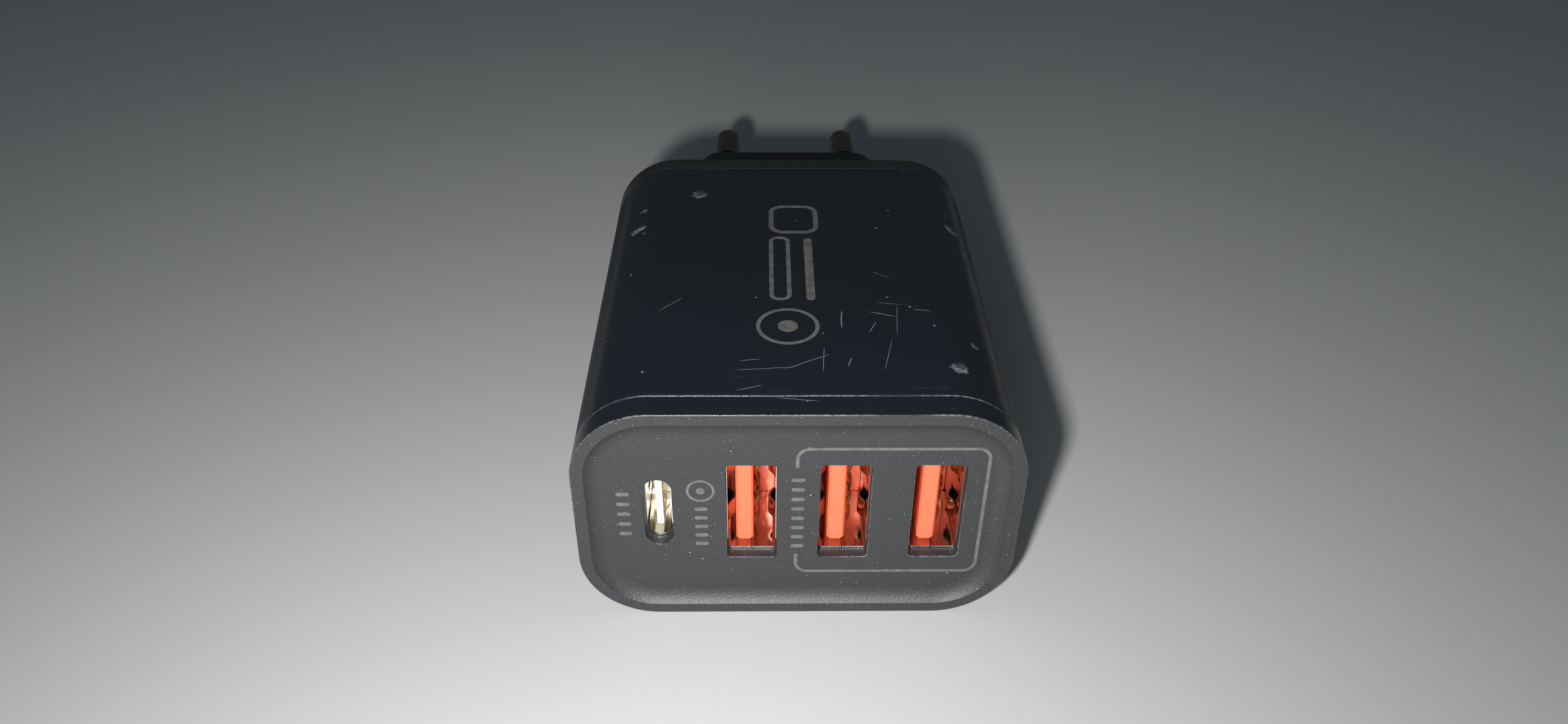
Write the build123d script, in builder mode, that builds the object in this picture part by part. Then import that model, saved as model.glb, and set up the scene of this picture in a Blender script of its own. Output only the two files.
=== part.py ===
from build123d import *
import os
from math import cos, radians, sin, tan

# A USB wall charger: three USB-A sockets and one USB-C socket in front, a two-pin Europlug behind.
# Millimetres. X runs across the sockets, Y from the sockets to the plug pins, Z up.
# The origin is the centre of the bounding box's bottom. Depth is the distance behind the front rim.

os.makedirs("parts", exist_ok=True)

# ---- Driving dimensions -------------------------------------------------------------------------

body_width = 46.8
body_height = 28.2
corner_radius = 8.4
skirt_length = 3.1          # visible band of the front cover
sleeve_length = 49.4        # ribbed main housing
rear_cap_length = 3.3       # flange of the rear cover, behind the housing
boss_length = 16.7          # plug boss behind the flange
pin_length = 19.0           # pin, from the boss's end to its tip
overall_length = skirt_length + sleeve_length + rear_cap_length + boss_length + pin_length

wall = 1.8
lip_gap = 0.1               # between a cover's lip and the housing's inside
lip_wall = 1.2
lip_length = 2.5
seam_chamfer = 0.12
rear_edge_radius = 1.0

rim_width = 1.35            # flat rim of the front face
cove_width = 1.9            # concave run from the rim down to the field
field_depth = 0.85
plate_thickness = 1.3       # of the front face, at the field

rib_pitch = 0.5
groove_width = 0.24
groove_depth = 0.2

port_z = 14.35
port_pitch = 9.8
usb_c_x = -1.5 * port_pitch
usb_a_xs = [-0.5 * port_pitch, 0.5 * port_pitch, 1.5 * port_pitch]

usb_a_hole_width = 5.3
usb_a_hole_height = 13.06
usb_a_inner_width = 5.12
usb_a_inner_height = 12.5
usb_a_length = 13.0
usb_c_hole_width = 2.99
usb_c_hole_height = 9.07
usb_c_inner_width = 2.56
usb_c_inner_height = 8.34
usb_c_length = 10.0
sheet = 0.3                 # sheet metal of the socket shells

tongue_width = 1.84         # USB-A insulator tongue
tongue_height = 11.1
tongue_offset = -0.75       # from the socket's middle, away from the contacts
tongue_length = 8.6
contact_zs = [-3.5, -1.0, 1.0, 3.5]

boss_height = 13.7
boss_flat = 22.6            # flat top of the boss, to the sharp corners of its 45 degree shoulders
boss_z = body_height / 2
pin_spacing = 18.8          # at the boss's end
pin_lean = 0.3              # degrees, each pin leans in towards the other
pin_radius = 2.0
sleeve_radius = 1.78        # insulating sleeve round the pin's root
pin_sleeve_length = 10.0
core_radius = 1.45          # of the pin under its sleeve and inside the boss

board_top = 7.2
board_thickness = 1.6
board_half_width = 20.4
board_front = 6.0           # depths of the board's two ends
board_back = 49.4

# ---- Derived places -----------------------------------------------------------------------------

front_y = -overall_length / 2
seam_depth = skirt_length
sleeve_end = skirt_length + sleeve_length
flange_end = sleeve_end + rear_cap_length
boss_end = flange_end + boss_length
mid_z = body_height / 2
shell_front = field_depth + plate_thickness + 0.05     # the socket shells start just behind the face
board_bottom = board_top - board_thickness


def at(depth):
    """Y of a depth behind the front rim."""
    return front_y + depth


def across(depth):
    """Sketch plane across the charger: local x is X, local y is Z, and -amount extrudes rearwards."""
    return Plane.XZ.offset(-at(depth))


def outline(inset, mode=Mode.ADD):
    """The body's rounded cross-section, pulled in by inset all round."""
    with Locations((0, mid_z)):
        size = body_width - 2 * inset, body_height - 2 * inset
        RectangleRounded(*size, corner_radius - inset, mode=mode)


def save(builder, node):
    builder.part.label = node
    export_step(builder.part, f"parts/{node}.step")


# ---- Front cover: rim, cove, field, socket holes and an inner lip --------------------------------

lip_outset = wall + lip_gap
cove_radius = (cove_width**2 + field_depth**2) / (2 * field_depth)
field_inset = rim_width + cove_width
cove_overlap = 0.3          # of the swept cove with the pocket over the field


def socket_holes():
    """The four socket outlines, on a plane across the charger."""
    with Locations(*[(x, port_z) for x in usb_a_xs]):
        RectangleRounded(usb_a_hole_width, usb_a_hole_height, 0.45)
    with Locations((usb_c_x, port_z)):
        SlotOverall(usb_c_hole_height, usb_c_hole_width, rotation=90)


rim_x = body_width / 2 - rim_width
rim_corners = [
    (-rim_x, rim_width),
    (rim_x, rim_width),
    (rim_x, body_height - rim_width),
    (-rim_x, body_height - rim_width),
]

with BuildPart() as front_cover:
    with BuildSketch(across(0)):
        outline(0)
    extrude(amount=-skirt_length)
    chamfer(front_cover.faces().sort_by(Axis.Y)[-1].outer_wire().edges(), seam_chamfer)
    with BuildSketch(across(skirt_length)):
        outline(lip_outset)
    extrude(amount=-lip_length)
    with BuildSketch(across(field_depth + plate_thickness)):
        outline(lip_outset + lip_wall)
    extrude(amount=-(skirt_length + lip_length), mode=Mode.SUBTRACT)
    with BuildSketch(across(0)):
        outline(field_inset)
    extrude(amount=-field_depth, mode=Mode.SUBTRACT)
    with BuildLine(across(0)) as cove_path:
        FilletPolyline(*rim_corners, radius=corner_radius - rim_width, close=True)
    cove_start = cove_path.wires()[0].location_at(0)
    # The profile's local x is the depth and its local y runs inwards from the rim.
    with BuildSketch(Plane(cove_start.position, x_dir=(0, 1, 0), z_dir=cove_start.z_axis.direction)):
        with BuildLine():
            RadiusArc((0, 0), (field_depth, cove_width), cove_radius)
            cove_end = cove_width + cove_overlap
            Polyline((field_depth, cove_width), (field_depth, cove_end), (0, cove_end), (0, 0))
        make_face()
    sweep(path=cove_path.wires()[0], mode=Mode.SUBTRACT)
    with BuildSketch(across(field_depth)):
        socket_holes()
    extrude(amount=-plate_thickness, mode=Mode.SUBTRACT)
save(front_cover, "front_cover")

# ---- Main housing: a sleeve with fine ribs on its narrow sides and rails for the board ----------

rib_count = int((sleeve_length - 2 * rib_pitch) / rib_pitch)
rail_height = 1.2
rail_gap = 0.1
rail_reach = 4.0            # of a rail's section, most of it inside the housing's wall
rail_x = board_half_width - 0.6 + rail_reach / 2
rail_offset = rail_gap + rail_height / 2
rail_relief = 0.3           # the rails stop this far short of the covers' lips


def groove_outline():
    """Bottom of the grooves: it meets the housing's own corner arcs halfway round them."""
    with Locations((0, mid_z)):
        RectangleRounded(
            body_width - 2 * groove_depth, body_height + 2 * groove_depth, corner_radius, mode=Mode.SUBTRACT
        )


with BuildPart(mode=Mode.PRIVATE) as groove:
    with BuildSketch(across(seam_depth + rib_pitch)):
        outline(0)
        groove_outline()
    extrude(amount=-groove_width)

with BuildPart() as main_housing:
    with BuildSketch(across(seam_depth)):
        outline(0)
    extrude(amount=-sleeve_length)
    for end in (0, -1):
        end_face = main_housing.faces().sort_by(Axis.Y)[end]
        chamfer(end_face.outer_wire().edges(), seam_chamfer)
    with BuildSketch(across(seam_depth)):
        outline(wall)
        for side in (-1, 1):
            for rail_z in (board_bottom - rail_offset, board_top + rail_offset):
                with Locations((side * rail_x, rail_z)):
                    Rectangle(rail_reach, rail_height, mode=Mode.SUBTRACT)
    extrude(amount=-sleeve_length, mode=Mode.SUBTRACT)
    with BuildSketch(across(seam_depth)):
        outline(wall)
    extrude(amount=-(lip_length + rail_relief), mode=Mode.SUBTRACT)
    with BuildSketch(across(sleeve_end)):
        outline(wall)
    extrude(amount=lip_length + rail_relief, mode=Mode.SUBTRACT)
    with Locations(*[(0, i * rib_pitch, 0) for i in range(rib_count)]):
        add(groove.part, mode=Mode.SUBTRACT)
save(main_housing, "main_housing")

# ---- Rear cover: flange with a lip, and the hollow plug boss --------------------------------------

boss_wall = 1.8
boss_corner_radius = 3.5
boss_tip_radius = 1.2
boss_tip_x = (boss_flat + boss_height) / 2      # sharp corner of the outline, before its radius
boss_edge_radius = 0.6
boss_root = 0.5             # length of the boss inside the flange
core_window_width = 8.0
pin_seat_gap = 0.02
sleeve_root = 2.0           # length of each insulating sleeve inside the boss
pin_x = pin_spacing / 2
lean = radians(pin_lean)


def boss_outline():
    """Long hexagon with rounded corners; its shoulders slope down from the flat top to the two tips."""
    with BuildLine() as edge:
        FilletPolyline(
            (boss_flat / 2, boss_z + boss_height / 2),
            (boss_tip_x, boss_z),
            (boss_flat / 2, boss_z - boss_height / 2),
            (-boss_flat / 2, boss_z - boss_height / 2),
            (-boss_tip_x, boss_z),
            (-boss_flat / 2, boss_z + boss_height / 2),
            radius=[boss_corner_radius, boss_tip_radius, boss_corner_radius] * 2,
            close=True,
        )
    make_face(edge.edges())


def pin_plane(side, depth):
    """Plane across one leaning pin's axis, at a depth; its normal points to the pin's tip."""
    back = boss_end - depth
    centre = (side * (pin_x + back * tan(lean)), at(depth), boss_z)
    return Plane(centre, x_dir=(cos(lean), side * sin(lean), 0), z_dir=(-side * sin(lean), cos(lean), 0))


with BuildPart() as rear_cover:
    with BuildSketch(across(sleeve_end)):
        outline(0)
    extrude(amount=-rear_cap_length)
    fillet(rear_cover.faces().sort_by(Axis.Y)[-1].outer_wire().edges(), rear_edge_radius)
    chamfer(rear_cover.faces().sort_by(Axis.Y)[0].outer_wire().edges(), seam_chamfer)
    with BuildSketch(across(flange_end - boss_root)):
        boss_outline()
    extrude(amount=-(boss_length + boss_root))
    fillet(rear_cover.faces().sort_by(Axis.Y)[-1].outer_wire().edges(), boss_edge_radius)
    with BuildSketch(across(sleeve_end)):
        outline(lip_outset)
    extrude(amount=lip_length)
    with BuildSketch(across(sleeve_end - lip_length)):
        outline(lip_outset + lip_wall)
    extrude(amount=-(lip_length + rear_cap_length - boss_wall), mode=Mode.SUBTRACT)
    with BuildSketch(across(flange_end - boss_wall)):
        with Locations((0, boss_z)):
            Rectangle(core_window_width, boss_height - 2 * boss_wall)
    extrude(amount=-boss_length, mode=Mode.SUBTRACT)
    for side in (-1, 1):
        with BuildSketch(pin_plane(side, flange_end - boss_wall - 1)):
            Circle(core_radius + pin_seat_gap)
        extrude(amount=boss_length + boss_wall + 2, mode=Mode.SUBTRACT)
        with BuildSketch(pin_plane(side, boss_end - sleeve_root)):
            Circle(sleeve_radius + pin_seat_gap)
        extrude(amount=sleeve_root + 1, mode=Mode.SUBTRACT)
save(rear_cover, "rear_cover")

# ---- Plug pins, their insulating sleeves and the leads to the board -------------------------------

tail_radius = 1.2
tip_radius = 1.75           # rounding of a pin's tip
collar_radius = 2.8
collar_thickness = 0.95
collar_front = flange_end - boss_wall - 1.0
tail_front = collar_front - 2.5
lead_radius = 0.75
lead_bend = 2.2
lead_pad_depth = 46.5


def along_pin(depth):
    """Distance from the pin's tail end to a depth, measured on its leaning axis."""
    return (depth - tail_front) / cos(lean)


def pin_profile_plane(side):
    """Plane that holds the pin's axis: local x runs along the pin from its tail, local y is its radius."""
    tail_plane = pin_plane(side, tail_front)
    return Plane(tail_plane.origin, x_dir=tail_plane.z_dir, z_dir=tail_plane.x_dir)


for name, side in {"left": -1, "right": 1}.items():
    axis_plane = pin_profile_plane(side)
    pin_axis = Axis(axis_plane.origin, axis_plane.x_dir)
    collar_start = along_pin(collar_front)
    collar_end = collar_start + collar_thickness
    bare_start = along_pin(boss_end) + pin_sleeve_length
    tip = along_pin(boss_end) + pin_length
    with BuildPart() as plug_pin:
        with BuildSketch(axis_plane):
            with BuildLine():
                Polyline(
                    (0, 0), (0, tail_radius), (collar_start, tail_radius),
                    (collar_start, collar_radius), (collar_end, collar_radius),
                    (collar_end, core_radius), (bare_start, core_radius),
                    (bare_start, pin_radius), (tip, pin_radius), (tip, 0), (0, 0),
                )
            make_face()
        revolve(axis=pin_axis)
        fillet(plug_pin.edges().filter_by(GeomType.CIRCLE).sort_by(Axis.Y)[-1], tip_radius)
    save(plug_pin, f"plug_pin_{name}")

    with BuildPart() as pin_sleeve:
        with BuildSketch(pin_plane(side, boss_end - sleeve_root)):
            Circle(sleeve_radius)
            Circle(core_radius + pin_seat_gap, mode=Mode.SUBTRACT)
        extrude(amount=sleeve_root + pin_sleeve_length - pin_seat_gap)
    save(pin_sleeve, f"pin_sleeve_{name}")

    tail_end = pin_plane(side, tail_front).origin
    with BuildPart() as pin_lead:
        with BuildLine():
            FilletPolyline(
                (tail_end.X, tail_end.Y - 0.1, tail_end.Z),
                (tail_end.X, at(lead_pad_depth), tail_end.Z),
                (tail_end.X, at(lead_pad_depth), board_bottom - 0.6),
                radius=lead_bend,
            )
        with BuildSketch(Plane((tail_end.X, tail_end.Y - 0.1, tail_end.Z), z_dir=(0, -1, 0))):
            Circle(lead_radius)
        sweep()
    save(pin_lead, f"pin_lead_{name}")

# ---- USB-A sockets: shell, insulator with its tongue, and contacts --------------------------------

shell_outer_width = usb_a_inner_width + 2 * sheet
shell_outer_height = usb_a_inner_height + 2 * sheet
leg_depths = (3.0, 10.5)
leg_width = 1.6
leg_end = board_bottom - 0.8
finger_root, finger_peak, finger_end = 1.4, 3.5, 4.8     # depths inside the shell
finger_height = 2.3
finger_bulge = 0.66
finger_clearance = 0.45         # window round each finger, above and below it
notch_start, notch_end = 7.6, 10.4
notch_depth = 0.5
tongue_setback = 0.25
tongue_corner = 0.36            # cut across each corner of the tongue's end
tongue_bevel = 0.2              # round the tongue's front face
base_front = tongue_setback + tongue_length
contact_width = 1.0
contact_thickness = 0.18
contact_rise = 0.55


def shell_plane(depth_in_shell):
    return across(shell_front + depth_in_shell)


def make_usb_a(number, x):
    inner_x = usb_a_inner_width / 2
    outer_x = shell_outer_width / 2
    side_z = usb_a_inner_height / 4

    with BuildPart() as usb_a_shell:
        with BuildSketch(shell_plane(0)):
            with Locations((x, port_z)):
                RectangleRounded(shell_outer_width, shell_outer_height, 0.6)
                RectangleRounded(usb_a_inner_width, usb_a_inner_height, 0.3, mode=Mode.SUBTRACT)
            with Locations((x, port_z - shell_outer_height / 2)):
                Rectangle(0.08, 3 * sheet, mode=Mode.SUBTRACT)
        extrude(amount=-usb_a_length)
        # Windows in both broad sides leave room for the fingers; corner notches stop the bends tearing.
        window_length = finger_end - finger_root + 0.5
        with BuildSketch(Plane.YZ.offset(x - outer_x - 1)):
            for z in (port_z - side_z, port_z + side_z):
                with Locations((at(shell_front + finger_root + window_length / 2), z)):
                    Rectangle(window_length, finger_height + 2 * finger_clearance)
        extrude(amount=shell_outer_width + 2, mode=Mode.SUBTRACT)
        with BuildSketch(Plane.XY.offset(port_z - shell_outer_height / 2 - 0.1)):
            for side in (-1, 1):
                notch_middle = at(shell_front + (notch_start + notch_end) / 2)
                with Locations((x + side * (inner_x + 0.5), notch_middle)):
                    Trapezoid(notch_end - notch_start, notch_depth + 0.5 + sheet, 45, rotation=side * 90)
        extrude(amount=1.1, mode=Mode.SUBTRACT)
        for side in (-1, 1):
            for z in (port_z - side_z, port_z + side_z):
                with BuildSketch(Plane.XY.offset(z - finger_height / 2)):
                    with BuildLine():
                        root = (x + side * (inner_x + sheet / 2), at(shell_front + finger_root - 0.02))
                        peak = (x + side * (inner_x - finger_bulge), at(shell_front + finger_peak))
                        tip = (x + side * (inner_x - 0.1), at(shell_front + finger_end))
                        finger_line = Spline(root, peak, tip, tangents=((0, 1), (side * 0.9, 1)))
                    trace(finger_line, line_width=sheet * 0.8)
                extrude(amount=finger_height)
        with BuildSketch(Plane.XY.offset(leg_end)):
            for depth in leg_depths:
                for side in (-1, 1):
                    with Locations((x + side * (inner_x + sheet / 2), at(shell_front + depth))):
                        Rectangle(sheet, leg_width)
        extrude(until=Until.NEXT)
    save(usb_a_shell, f"usb_a_shell_{number}")

    with BuildPart() as usb_a_insulator:
        with BuildSketch(shell_plane(base_front)):
            with Locations((x, port_z)):
                RectangleRounded(usb_a_inner_width - 0.1, usb_a_inner_height - 0.1, 0.4)
        extrude(amount=-(usb_a_length - base_front))
        with BuildSketch(shell_plane(tongue_setback)):
            with Locations((x + tongue_offset, port_z)):
                tongue_section = Rectangle(tongue_width, tongue_height)
            chamfer(tongue_section.vertices(), tongue_corner)
        extrude(amount=-(base_front - tongue_setback))
        chamfer(usb_a_insulator.faces().sort_by(Axis.Y)[0].edges(), tongue_bevel)
    save(usb_a_insulator, f"usb_a_insulator_{number}")

    tongue_side = x + tongue_offset + tongue_width / 2 + contact_thickness / 2 + 0.02
    with BuildPart() as usb_a_contacts:
        for z in contact_zs:
            with BuildSketch(Plane.XY.offset(port_z + z - contact_width / 2)):
                with BuildLine():
                    contact_line = Polyline(
                        (tongue_side, at(shell_front + base_front - 0.05)),
                        (tongue_side, at(shell_front + 5.6)),
                        (tongue_side + contact_rise, at(shell_front + 2.9)),
                        (tongue_side + contact_rise, at(shell_front + 2.4)),
                        (tongue_side + 0.1, at(shell_front + 1.4)),
                    )
                trace(contact_line, line_width=contact_thickness)
            extrude(amount=contact_width)
        for i, z in enumerate(contact_zs):
            tail_x = x + (i - 1.5) * 1.2
            with BuildSketch(Plane.YZ.offset(tail_x - contact_thickness)):
                with BuildLine():
                    tail_line = Polyline(
                        (at(shell_front + usb_a_length), port_z + z),
                        (at(shell_front + usb_a_length + 0.8), port_z + z),
                        (at(shell_front + usb_a_length + 0.8), leg_end),
                    )
                trace(tail_line, line_width=contact_thickness)
            extrude(amount=2 * contact_thickness)
    save(usb_a_contacts, f"usb_a_contacts_{number}")


for number, x in enumerate(usb_a_xs, start=1):
    make_usb_a(number, x)

# ---- USB-C socket ---------------------------------------------------------------------------------

usb_c_tongue = (0.7, 6.69)
usb_c_tongue_front = 0.6
usb_c_base_front = 6.4
usb_c_pad_zs = [(i - 5.5) * 0.5 for i in range(12)]
usb_c_pad = (0.08, 4.6, 0.26)
usb_c_tail_depth = shell_front + usb_c_length + 0.35
usb_c_leg_depths = (4.8, 8.6)
usb_c_low_z = port_z - usb_c_inner_height / 2

with BuildPart() as usb_c_shell:
    with BuildSketch(shell_plane(0)):
        with Locations((usb_c_x, port_z)):
            SlotOverall(usb_c_inner_height + 2 * sheet, usb_c_inner_width + 2 * sheet, rotation=90)
            SlotOverall(usb_c_inner_height, usb_c_inner_width, rotation=90, mode=Mode.SUBTRACT)
    extrude(amount=-usb_c_length)
    with BuildSketch(Plane.YZ.offset(usb_c_x - usb_c_inner_width)):
        with Locations((at(shell_front + 3.4), port_z)):
            Rectangle(2.2, 1.1)
    extrude(amount=usb_c_inner_width, mode=Mode.SUBTRACT)
    with BuildSketch(Plane.XY.offset(leg_end)):
        for depth in usb_c_leg_depths:
            for side in (-1, 1):
                with Locations((usb_c_x + side * (usb_c_inner_width + sheet) / 2, at(shell_front + depth))):
                    Rectangle(sheet, 1.2)
    extrude(amount=usb_c_low_z + usb_c_inner_width / 2 - leg_end)
save(usb_c_shell, "usb_c_shell")

with BuildPart() as usb_c_insulator:
    with BuildSketch(shell_plane(usb_c_base_front)):
        with Locations((usb_c_x, port_z)):
            SlotOverall(usb_c_inner_height - 0.1, usb_c_inner_width - 0.1, rotation=90)
    extrude(amount=-(usb_c_length - usb_c_base_front))
    with BuildSketch(shell_plane(usb_c_tongue_front)):
        with Locations((usb_c_x, port_z)):
            RectangleRounded(*usb_c_tongue, 0.2)
    extrude(amount=-(usb_c_base_front - usb_c_tongue_front))
save(usb_c_insulator, "usb_c_insulator")

with BuildPart() as usb_c_contacts:
    for side in (-1, 1):
        pad_x = usb_c_x + side * (usb_c_tongue[0] / 2 + 0.045)
        with Locations(*[(pad_x, at(shell_front + 3.3), port_z + z) for z in usb_c_pad_zs]):
            Box(*usb_c_pad)
    for i, side in enumerate((-1, 1)):
        with Locations((usb_c_x + side * 0.7, at(usb_c_tail_depth), (leg_end + port_z) / 2 - 0.4 * i)):
            Box(0.25, 0.6, port_z - leg_end - 0.8)
save(usb_c_contacts, "usb_c_contacts")

# ---- Circuit boards -------------------------------------------------------------------------------

# Capacitor cans: x, depth, radius, height and the height of the rolled groove.
cans = {
    "input_capacitor_1": (6.2, 40.4, 4.0, 15.0, 1.4),
    "input_capacitor_2": (15.0, 40.4, 4.0, 15.0, 1.4),
    "output_capacitor_1": (7.8, 27.4, 3.15, 10.0, 1.0),
    "output_capacitor_2": (15.0, 27.4, 3.15, 10.0, 1.0),
}
y_cap_x, y_cap_depth, y_cap_radius, y_cap_thickness = 2.9, 32.5, 3.4, 2.4
y_cap_lead_offset = 1.9
component_lead_radius = 0.3
joint_places = [
    (x + side * radius * 0.4, depth) for x, depth, radius, _, _ in cans.values() for side in (-1, 1)
] + [(y_cap_x, y_cap_depth + side * y_cap_lead_offset) for side in (-1, 1)]

riser_front = 17.0          # upright board behind the sockets
riser_thickness = 1.2
riser_half_width = 18.0
riser_top = 24.6
riser_notch = 5.0
riser_back = riser_front + riser_thickness
isolation_slot_x, isolation_slot_depth = 9.5, 37.0

leg_places = [
    (x + side * (usb_a_inner_width + sheet) / 2, shell_front + depth)
    for x in usb_a_xs for side in (-1, 1) for depth in leg_depths
]
usb_c_leg_places = [
    (usb_c_x + side * (usb_c_inner_width + sheet) / 2, shell_front + depth)
    for side in (-1, 1) for depth in usb_c_leg_depths
]
tail_places = [(x + (i - 1.5) * 1.2, shell_front + usb_a_length + 0.8) for x in usb_a_xs for i in range(4)]
lead_places = [(side * abs(pin_plane(side, tail_front).origin.X), lead_pad_depth) for side in (-1, 1)]

with BuildPart() as main_board:
    with BuildSketch(Plane.XY.offset(board_bottom)):
        with Locations((0, at((board_front + board_back) / 2))):
            RectangleRounded(2 * board_half_width, board_back - board_front, 1.0)
        for x, depth in leg_places + usb_c_leg_places:
            with Locations((x, at(depth))):
                Rectangle(sheet + 0.2, leg_width + 0.2, mode=Mode.SUBTRACT)
        for x, depth in tail_places:
            with Locations((x, at(depth))):
                Rectangle(0.6, 0.5, mode=Mode.SUBTRACT)
        for x, depth in lead_places:
            with Locations((x, at(depth))):
                Circle(lead_radius + 0.1, mode=Mode.SUBTRACT)
        for x, depth in joint_places:
            with Locations((x, at(depth))):
                Circle(component_lead_radius + 0.1, mode=Mode.SUBTRACT)
        # Isolation slot between the mains side and the low-voltage side.
        with Locations((isolation_slot_x, at(isolation_slot_depth))):
            SlotOverall(7.0, 1.0, mode=Mode.SUBTRACT)
        for side in (-1, 1):
            with Locations((usb_c_x + side * 0.7, at(usb_c_tail_depth))):
                Rectangle(0.5, 0.9, mode=Mode.SUBTRACT)
    extrude(amount=board_thickness)
save(main_board, "main_board")

with BuildPart() as riser_board:
    with BuildSketch(across(riser_front)):
        with Locations((0, (board_top + riser_top) / 2)):
            Rectangle(2 * riser_half_width, riser_top - board_top)
        for side in (-1, 1):
            with Locations((side * riser_half_width, riser_top)):
                Rectangle(riser_notch, riser_notch, mode=Mode.SUBTRACT)
    extrude(amount=-riser_thickness)
save(riser_board, "riser_board")

# ---- Transformer ----------------------------------------------------------------------------------

transformer_x = -9.5
transformer_depth = 32.4
transformer_z = board_top + 8.6
core_width = 18.8
core_length = 16.0
core_thickness = 5.0
core_leg = 5.0              # centre leg, square
core_side_leg = 2.5
core_back = 2.6
bobbin_wall = 0.6
bobbin_flange = 0.9
winding_build = 3.4         # thickness of the wound copper and its tape
winding_length = core_length - 2 * core_back - 2 * bobbin_flange - 0.4
transformer_middle = (transformer_x, at(transformer_depth), transformer_z)

with BuildPart() as transformer_core:
    with BuildSketch(Plane.XY.offset(transformer_z - core_thickness / 2)):
        with Locations((transformer_x, at(transformer_depth))):
            RectangleRounded(core_width, core_length, 0.4)
            Rectangle(core_width - 2 * core_side_leg, core_length - 2 * core_back, mode=Mode.SUBTRACT)
            Rectangle(core_leg, core_length - 1)
            Rectangle(core_width + 1, 0.04, mode=Mode.SUBTRACT)
    extrude(amount=core_thickness)
save(transformer_core, "transformer_core")

coil_inner = core_leg / 2 + 0.1 + bobbin_wall
coil_outer = coil_inner + winding_build
flange_width = 2 * (coil_outer + 0.2)
flange_depths = [transformer_depth + side * (winding_length + bobbin_flange) / 2 for side in (-1, 1)]

with BuildPart() as transformer_bobbin:
    with Locations(transformer_middle):
        Box(2 * coil_inner, winding_length + 0.02, 2 * coil_inner)
    for depth in flange_depths:
        with Locations((transformer_x, at(depth), transformer_z)):
            Box(flange_width, bobbin_flange, flange_width)
        with Locations((transformer_x, at(depth), board_top + 1.0)):
            Box(flange_width, 2.6, 2.0)
    with Locations(transformer_middle):
        Box(core_leg + 0.2, core_length, core_leg + 0.2, mode=Mode.SUBTRACT)
save(transformer_bobbin, "transformer_bobbin")

with BuildPart() as transformer_winding:
    with BuildSketch(across(transformer_depth - winding_length / 2 + 0.05)):
        with Locations((transformer_x, transformer_z)):
            RectangleRounded(2 * coil_outer, 2 * coil_outer, 2.4)
            Rectangle(2 * coil_inner + 0.04, 2 * coil_inner + 0.04, mode=Mode.SUBTRACT)
    extrude(amount=-(winding_length - 0.1))
save(transformer_winding, "transformer_winding")

# ---- Capacitors -----------------------------------------------------------------------------------


def make_can(node, x, depth, radius, height, groove_z):
    """Aluminium can standing on the board, with a rolled groove near its foot and a domed edge on top."""
    foot = board_top + 0.3
    with BuildPart() as can:
        with BuildSketch(Plane.XZ.offset(-at(depth))):
            with BuildLine():
                Polyline(
                    (x, foot), (x + radius, foot), (x + radius, foot + groove_z),
                    (x + radius - 0.4, foot + groove_z + 0.4), (x + radius, foot + groove_z + 0.8),
                    (x + radius, foot + height), (x, foot + height), (x, foot),
                )
            make_face()
        revolve(axis=Axis((x, at(depth), 0), (0, 0, 1)))
        fillet(can.edges().filter_by(GeomType.CIRCLE).sort_by(Axis.Z)[-1], 0.5)
        with BuildSketch(Plane.XY.offset(foot + height - 0.15)):
            with Locations((x, at(depth))):
                for angle in (0, 60, 120):
                    Rectangle(radius * 1.3, 0.25, rotation=angle)
        extrude(amount=0.3, mode=Mode.SUBTRACT)
        with BuildSketch(Plane.XY.offset(board_bottom)):
            with Locations((x - radius * 0.4, at(depth)), (x + radius * 0.4, at(depth))):
                Circle(component_lead_radius)
        extrude(amount=foot - board_bottom + 0.1)
    save(can, node)


for node, (x, depth, radius, height, groove_z) in cans.items():
    make_can(node, x, depth, radius, height, groove_z)

with BuildPart() as y_capacitor:
    with BuildSketch(Plane.YZ.offset(y_cap_x - y_cap_thickness / 2)):
        with Locations((at(y_cap_depth), board_top + 1.2 + y_cap_radius)):
            Circle(y_cap_radius)
    extrude(amount=y_cap_thickness)
    fillet(y_capacitor.edges().filter_by(GeomType.CIRCLE), 0.9)
    with BuildSketch(Plane.XY.offset(board_bottom)):
        for side in (-1, 1):
            with Locations((y_cap_x, at(y_cap_depth + side * y_cap_lead_offset))):
                Circle(component_lead_radius)
    extrude(amount=board_thickness + 3)
save(y_capacitor, "y_capacitor")


def make_block(node, centre_x, centre_depth, foot, size, edge=0.35):
    """Moulded component body with eased edges, standing on foot."""
    with BuildPart() as block:
        with BuildSketch(Plane.XY.offset(foot)):
            with Locations((centre_x, at(centre_depth))):
                RectangleRounded(size[0], size[1], edge)
        extrude(amount=size[2])
        chamfer(block.faces().sort_by(Axis.Z)[-1].edges(), edge * 0.6)
    save(block, node)


make_block("x_capacitor", -15.2, 44.8, board_top + 0.1, (8.0, 5.0, 9.5), 0.6)
make_block("fuse", 15.4, 47.0, board_top + 0.1, (7.6, 3.9, 7.2), 0.5)
make_block("bridge_rectifier", 5.0, 47.4, board_top + 0.15, (5.0, 3.6, 2.4), 0.3)
make_block("optocoupler", 12.6, 33.6, board_top + 0.3, (6.4, 4.4, 3.3), 0.3)

# ---- EMI choke: a ferrite ring on edge, with two windings -----------------------------------------

choke_x, choke_depth = -3.2, 44.8
choke_mid_radius = 3.3
choke_section = 2.0
wire_radius = 0.3
choke_z = board_top + choke_mid_radius + choke_section / 2 + 3 * wire_radius
turns_per_winding = 7

with BuildPart() as choke_core:
    with BuildSketch(across(choke_depth - choke_section)):
        with Locations((choke_x, choke_z)):
            Circle(choke_mid_radius + choke_section / 2)
            Circle(choke_mid_radius - choke_section / 2, mode=Mode.SUBTRACT)
    extrude(amount=-2 * choke_section)
save(choke_core, "choke_core")

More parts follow.
